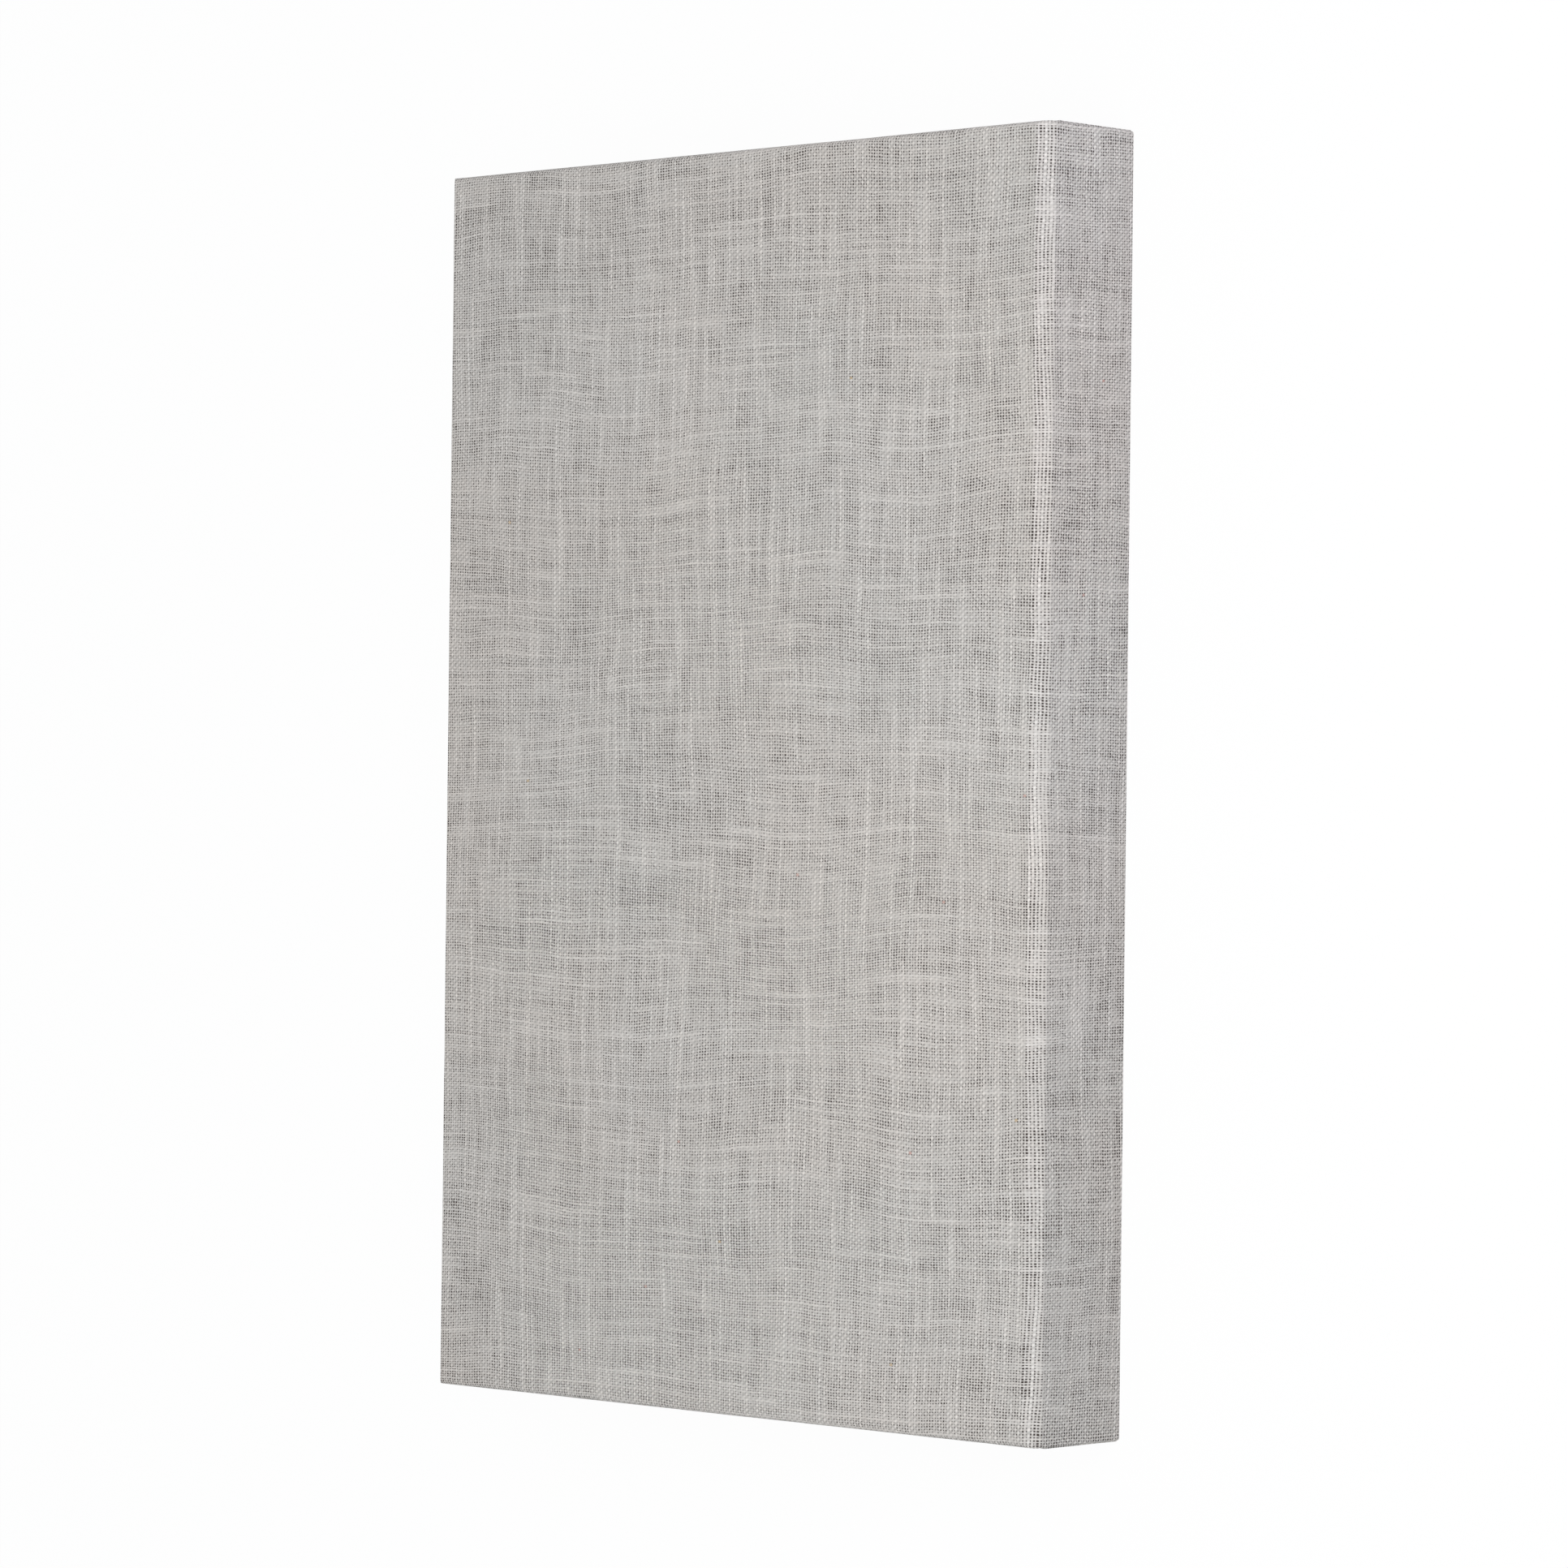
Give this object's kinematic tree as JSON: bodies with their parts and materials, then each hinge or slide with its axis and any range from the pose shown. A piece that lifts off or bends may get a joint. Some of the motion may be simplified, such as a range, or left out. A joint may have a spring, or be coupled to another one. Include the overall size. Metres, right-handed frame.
{
  "type": "fabric acoustic wall panel",
  "caption": "Sound-absorbing wall panel: a rigid fibre board wrapped in light grey open-weave cloth with bevelled long edges, folded corners and the cloth glued down round its back.",
  "frame": {"origin": "The middle of the panel's back, on the plane of the cloth strips that are glued to it. The panel lies on its back on a level floor.", "axes": "+Z is the depth and points out of the cloth face. +Y runs along the long sides, towards the end that is up in the picture. +X runs along the short sides, towards the side that the picture shows."},
  "size_m": [0.6096, 0.9156, 0.0921],
  "materials": {
    "fibre_board": "matte, dark felted mineral fibre",
    "cloth": "matte, open plain weave of warm light grey slub yarn"
  },
  "bodies": {
    "root": {"core_board": "fibre_board", "fabric_cover": "cloth"}
  },
  "joints": []
}
